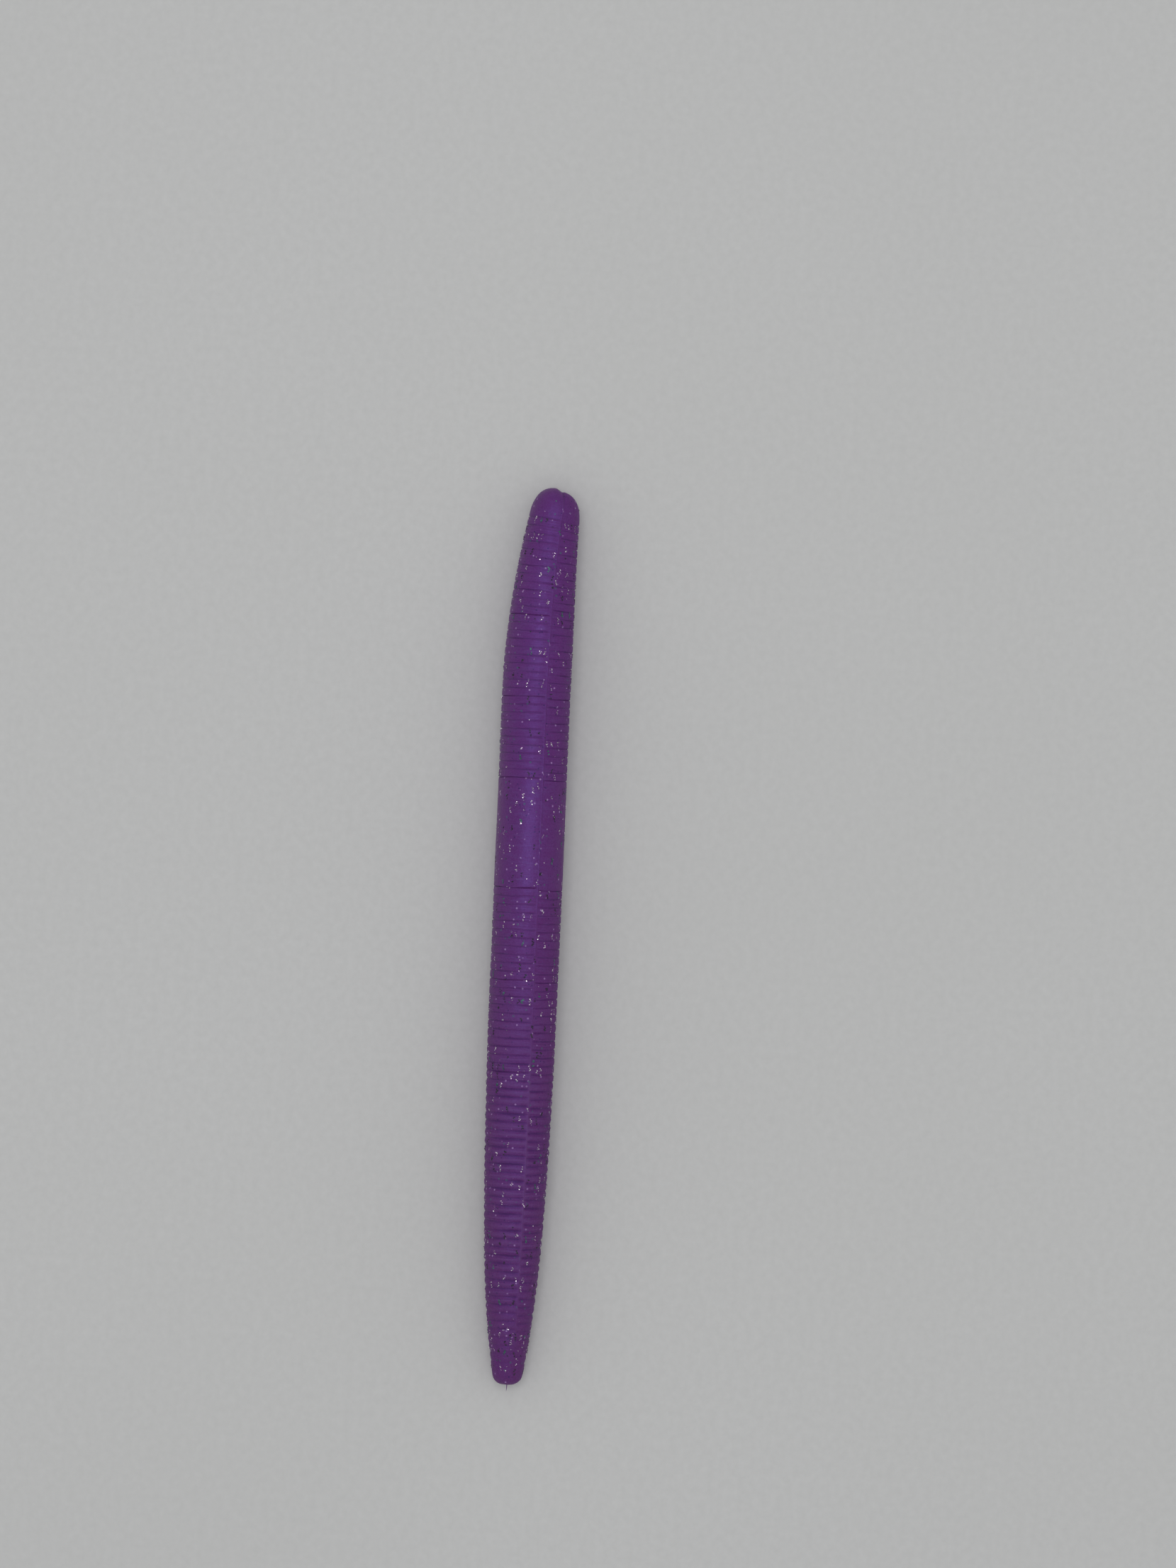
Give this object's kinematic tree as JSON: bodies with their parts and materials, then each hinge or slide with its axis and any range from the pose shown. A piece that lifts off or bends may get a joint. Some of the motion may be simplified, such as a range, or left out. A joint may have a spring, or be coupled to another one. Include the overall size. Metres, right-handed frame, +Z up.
{
  "type": "soft plastic worm",
  "caption": "Soft plastic stick worm with ringed ends, a smooth middle band and cast-in glitter, in nested sections that bend sideways.",
  "frame": {"origin": "centre of the underside's bounding box, on the surface that the worm lies on", "axes": "+X along the straight part of the body towards the nose, +Y to the worm's left, +Z up"},
  "size_m": [0.127, 0.01, 0.0095],
  "materials": {
    "worm_plastic": "deep violet translucent plastisol with a pearl sheen, satin",
    "silver_glitter": "metallised film, mirror-bright",
    "green_glitter": "metallised film, dark green",
    "black_glitter": "opaque film, black"
  },
  "bodies": {
    "nose": {"nose_moulding": "worm_plastic", "nose_silver_glitter": "silver_glitter", "nose_green_glitter": "green_glitter", "nose_black_glitter": "black_glitter"},
    "front_outer": {"front_outer_moulding": "worm_plastic", "front_outer_silver_glitter": "silver_glitter", "front_outer_green_glitter": "green_glitter", "front_outer_black_glitter": "black_glitter"},
    "front_inner": {"front_inner_moulding": "worm_plastic", "front_inner_silver_glitter": "silver_glitter", "front_inner_green_glitter": "green_glitter", "front_inner_black_glitter": "black_glitter"},
    "middle": {"middle_moulding": "worm_plastic", "middle_silver_glitter": "silver_glitter", "middle_green_glitter": "green_glitter", "middle_black_glitter": "black_glitter"},
    "rear_1": {"rear_1_moulding": "worm_plastic", "rear_1_silver_glitter": "silver_glitter", "rear_1_green_glitter": "green_glitter", "rear_1_black_glitter": "black_glitter"},
    "rear_2": {"rear_2_moulding": "worm_plastic", "rear_2_silver_glitter": "silver_glitter", "rear_2_green_glitter": "green_glitter", "rear_2_black_glitter": "black_glitter"},
    "rear_3": {"rear_3_moulding": "worm_plastic", "rear_3_silver_glitter": "silver_glitter", "rear_3_green_glitter": "green_glitter", "rear_3_black_glitter": "black_glitter"},
    "rear_4": {"rear_4_moulding": "worm_plastic", "rear_4_silver_glitter": "silver_glitter", "rear_4_green_glitter": "green_glitter", "rear_4_black_glitter": "black_glitter"},
    "tail": {"tail_moulding": "worm_plastic", "tail_silver_glitter": "silver_glitter", "tail_green_glitter": "green_glitter", "tail_black_glitter": "black_glitter"}
  },
  "joints": [
    {"name": "front_inner_bend", "type": "hinge", "parent": "middle", "child": "front_inner", "pos_m": [0.02807, 0.00016, 0.0046], "axis": [0, 0, 1], "range_deg": [-25, 25], "stiffness_Nm_per_rad": 0.004172},
    {"name": "front_outer_bend", "type": "hinge", "parent": "front_inner", "child": "front_outer", "pos_m": [0.03954, 0.00008, 0.00459], "axis": [0, 0, 1], "range_deg": [-25, 25], "stiffness_Nm_per_rad": 0.004138},
    {"name": "nose_bend", "type": "hinge", "parent": "front_outer", "child": "nose", "pos_m": [0.05099, -0.00051, 0.00403], "axis": [0, 0, 1], "range_deg": [-25, 25], "stiffness_Nm_per_rad": 0.00253},
    {"name": "rear_1_bend", "type": "hinge", "parent": "middle", "child": "rear_1", "pos_m": [0.00034, 0.00016, 0.0046], "axis": [0, 0, -1], "range_deg": [-25, 25], "stiffness_Nm_per_rad": 0.004172},
    {"name": "rear_2_bend", "type": "hinge", "parent": "rear_1", "child": "rear_2", "pos_m": [-0.01265, 0.00016, 0.00458], "axis": [0, 0, -1], "range_deg": [-25, 25], "stiffness_Nm_per_rad": 0.004103},
    {"name": "rear_3_bend", "type": "hinge", "parent": "rear_2", "child": "rear_3", "pos_m": [-0.02564, 0.00016, 0.00443], "axis": [0, 0, -1], "range_deg": [-25, 25], "stiffness_Nm_per_rad": 0.003617},
    {"name": "rear_4_bend", "type": "hinge", "parent": "rear_3", "child": "rear_4", "pos_m": [-0.03863, 0.00016, 0.00408], "axis": [0, 0, -1], "range_deg": [-25, 25], "stiffness_Nm_per_rad": 0.00265},
    {"name": "tail_bend", "type": "hinge", "parent": "rear_4", "child": "tail", "pos_m": [-0.05162, 0.00016, 0.0033], "axis": [0, 0, -1], "range_deg": [-25, 25], "stiffness_Nm_per_rad": 0.001197}
  ]
}
